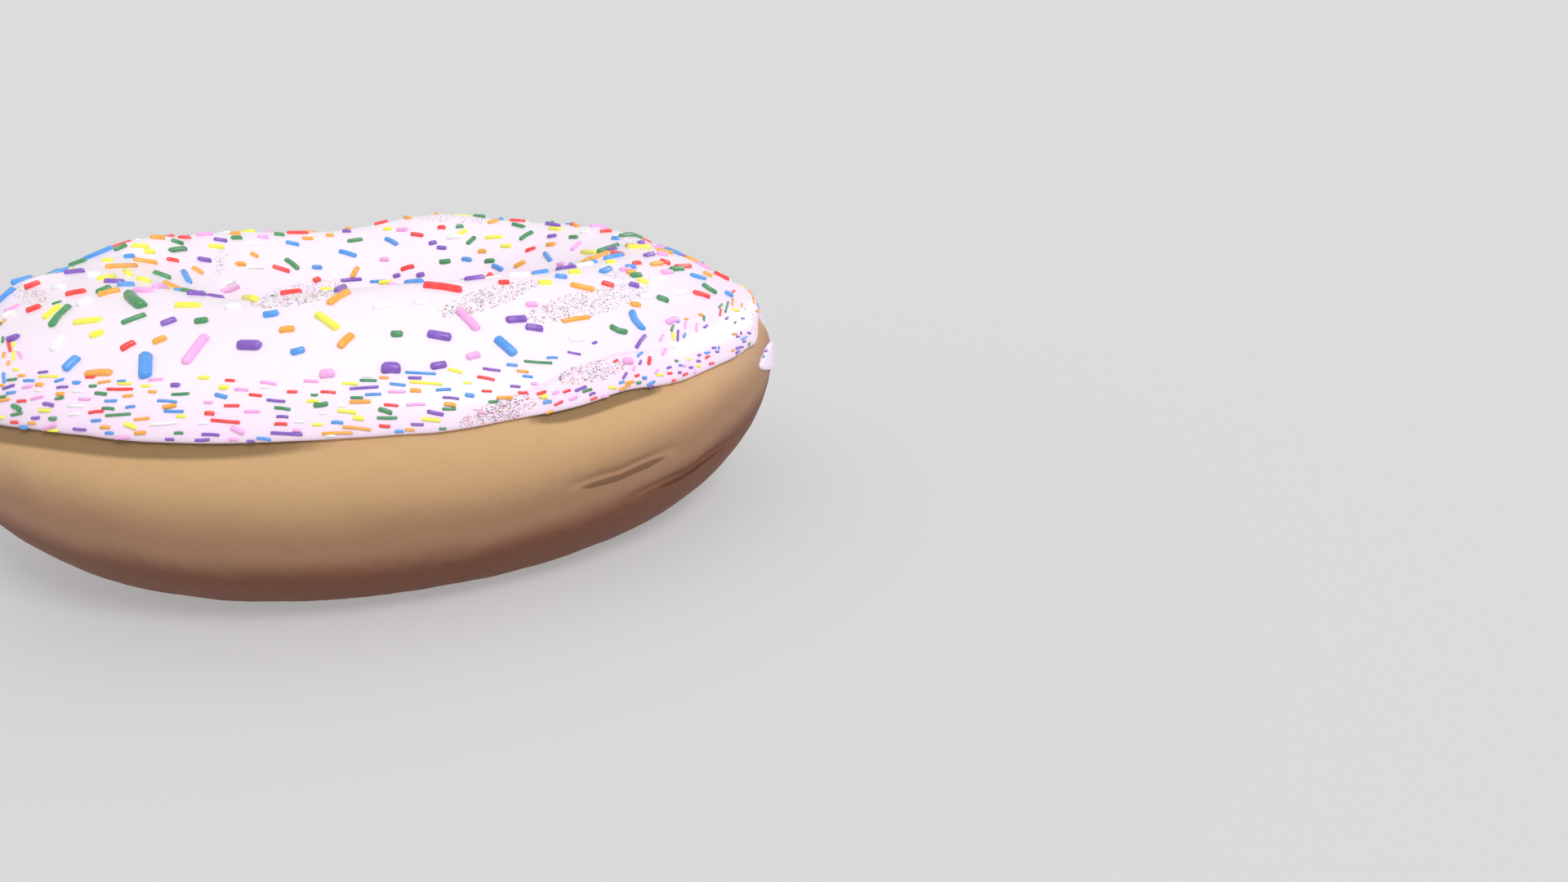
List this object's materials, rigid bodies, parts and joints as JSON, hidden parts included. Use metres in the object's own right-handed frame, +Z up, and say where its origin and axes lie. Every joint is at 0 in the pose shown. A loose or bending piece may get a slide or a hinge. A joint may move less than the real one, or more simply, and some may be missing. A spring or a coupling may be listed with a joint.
{
  "type": "sprinkle frosted doughnut",
  "caption": "Ring doughnut: a golden fried dough ring under pale pink frosting that runs into the hole and is scattered with coloured sugar sprinkles.",
  "frame": {"origin": "on the surface that the ring rests on, under the middle of the doughnut's box", "axes": "+Z up along the axis of the ring and its hole, -Y the front"},
  "size_m": [0.0984, 0.1, 0.0337],
  "materials": {
    "dough": "fried dough: dry satin crust, tan near the frosting, browner below",
    "frosting": "set icing: smooth, glossy, very pale pink",
    "sprinkle_red": "sugar sprinkle, satin",
    "sprinkle_orange": "sugar sprinkle, satin",
    "sprinkle_yellow": "sugar sprinkle, satin",
    "sprinkle_green": "sugar sprinkle, satin",
    "sprinkle_blue": "sugar sprinkle, satin",
    "sprinkle_purple": "sugar sprinkle, satin",
    "sprinkle_pink": "sugar sprinkle, satin",
    "sprinkle_white": "sugar sprinkle, satin"
  },
  "bodies": {
    "root": {"dough": "dough", "frosting": "frosting"}
  },
  "joints": []
}
